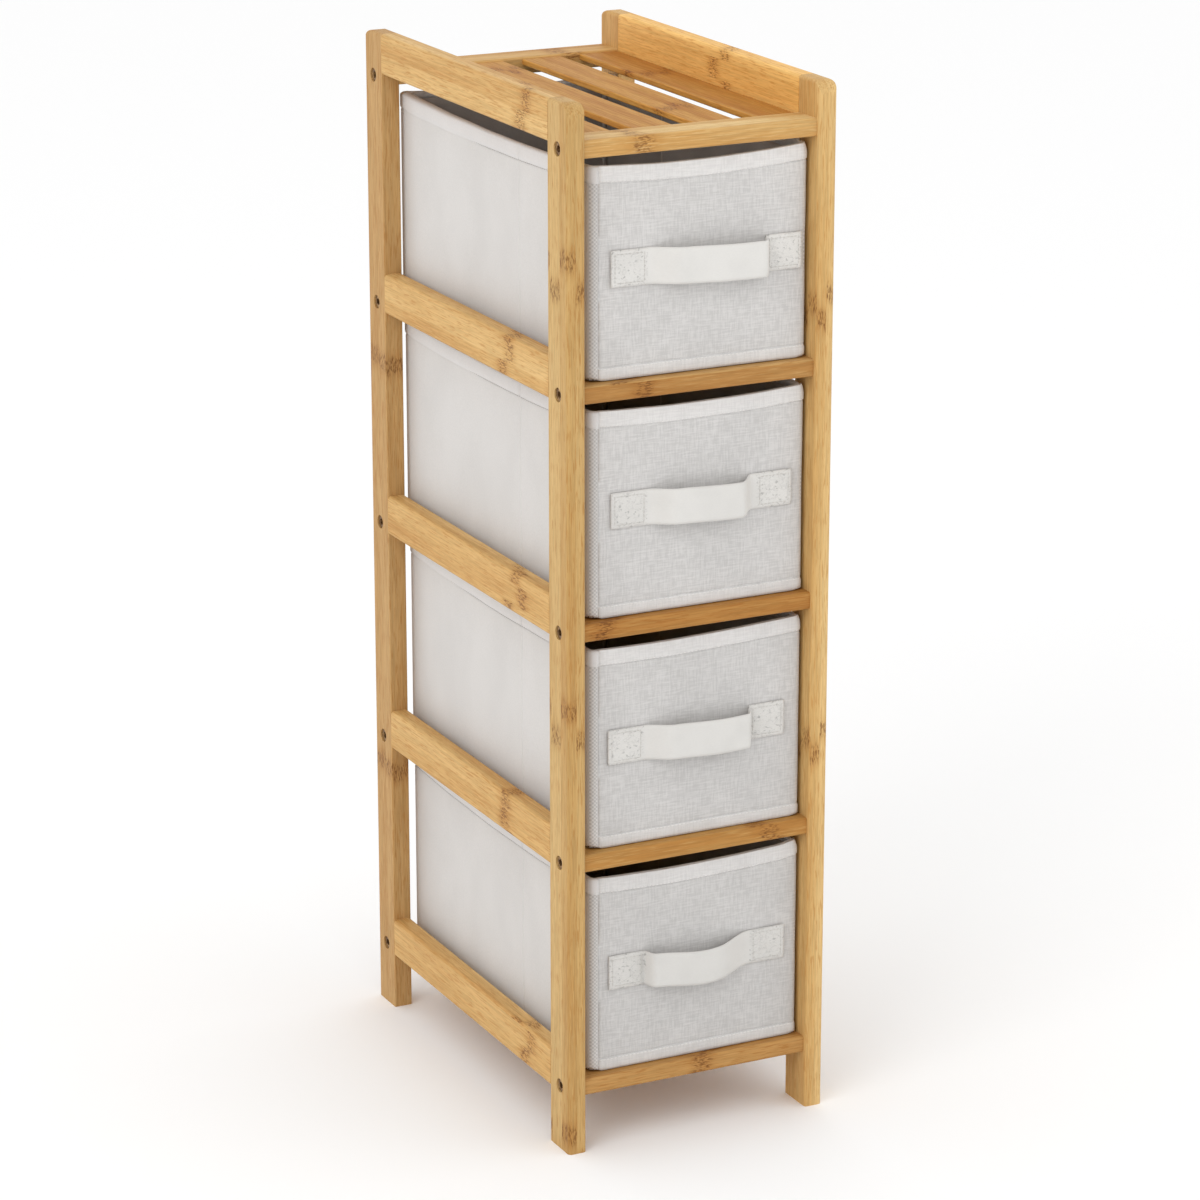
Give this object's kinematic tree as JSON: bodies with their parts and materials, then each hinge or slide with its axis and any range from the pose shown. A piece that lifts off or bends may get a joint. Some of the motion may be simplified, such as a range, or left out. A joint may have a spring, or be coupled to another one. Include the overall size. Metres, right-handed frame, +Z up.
{
  "type": "storage tower",
  "caption": "Narrow bamboo storage tower: ladder-like side frames joined by slatted shelves, with open-topped fabric drawers that pull out by webbing straps.",
  "frame": {"origin": "on the floor, midway between the four posts", "axes": "+Z up, -Y out of the front of the drawers, +X to the right as seen from the front"},
  "size_m": [0.22, 0.36, 0.81],
  "materials": {
    "bamboo": "satin clear-lacquered laminated bamboo",
    "dowel_wood": "plain turned hardwood",
    "bolt_steel": "dark bronze-coloured plating",
    "side_fabric": "matt non-woven cloth, off-white",
    "front_linen": "matt coarse linen weave, light grey",
    "dark_lining": "matt non-woven cloth, dark grey-brown",
    "stiff_board": "uncoated grey-brown board",
    "webbing": "tightly woven flat tape, off-white"
  },
  "bodies": {
    "frame": {"front_left_post": "bamboo", "back_left_post": "bamboo", "front_right_post": "bamboo", "back_right_post": "bamboo", "left_top_rail": "bamboo", "right_top_rail": "bamboo", "left_side_rail_1": "bamboo", "left_side_rail_2": "bamboo", "left_side_rail_3": "bamboo", "left_side_rail_4": "bamboo", "right_side_rail_1": "bamboo", "right_side_rail_2": "bamboo", "right_side_rail_3": "bamboo", "right_side_rail_4": "bamboo", "front_cross_rail_1": "bamboo", "front_cross_rail_2": "bamboo", "front_cross_rail_3": "bamboo", "front_cross_rail_4": "bamboo", "front_cross_rail_5": "bamboo", "back_cross_rail_1": "bamboo", "back_cross_rail_2": "bamboo", "back_cross_rail_3": "bamboo", "back_cross_rail_4": "bamboo", "back_cross_rail_5": "bamboo", "shelf_1_slats": "bamboo", "shelf_2_slats": "bamboo", "shelf_3_slats": "bamboo", "shelf_4_slats": "bamboo", "top_shelf_slat_1": "bamboo", "top_shelf_slat_2": "bamboo", "top_shelf_slat_3": "bamboo", "top_shelf_slat_4": "bamboo", "cross_bolts": "bolt_steel", "barrel_nuts": "bolt_steel", "side_frame_dowels": "dowel_wood"},
    "drawer_1": {"drawer_1_cover": "side_fabric", "drawer_1_front_panel": "front_linen", "drawer_1_wall_boards": "stiff_board", "drawer_1_base_board": "stiff_board", "drawer_1_lining": "dark_lining", "drawer_1_handle_strap": "webbing"},
    "drawer_2": {"drawer_2_cover": "side_fabric", "drawer_2_front_panel": "front_linen", "drawer_2_wall_boards": "stiff_board", "drawer_2_base_board": "stiff_board", "drawer_2_lining": "dark_lining", "drawer_2_handle_strap": "webbing"},
    "drawer_3": {"drawer_3_cover": "side_fabric", "drawer_3_front_panel": "front_linen", "drawer_3_wall_boards": "stiff_board", "drawer_3_base_board": "stiff_board", "drawer_3_lining": "dark_lining", "drawer_3_handle_strap": "webbing"},
    "drawer_4": {"drawer_4_cover": "side_fabric", "drawer_4_front_panel": "front_linen", "drawer_4_wall_boards": "stiff_board", "drawer_4_base_board": "stiff_board", "drawer_4_lining": "dark_lining", "drawer_4_handle_strap": "webbing"}
  },
  "joints": [
    {"name": "drawer_1_slide", "type": "slide", "parent": "frame", "child": "drawer_1", "axis": [0, -1, 0], "range_m": [0, 0.24]},
    {"name": "drawer_2_slide", "type": "slide", "parent": "frame", "child": "drawer_2", "axis": [0, -1, 0], "range_m": [0, 0.24]},
    {"name": "drawer_3_slide", "type": "slide", "parent": "frame", "child": "drawer_3", "axis": [0, -1, 0], "range_m": [0, 0.24]},
    {"name": "drawer_4_slide", "type": "slide", "parent": "frame", "child": "drawer_4", "axis": [0, -1, 0], "range_m": [0, 0.24]}
  ]
}
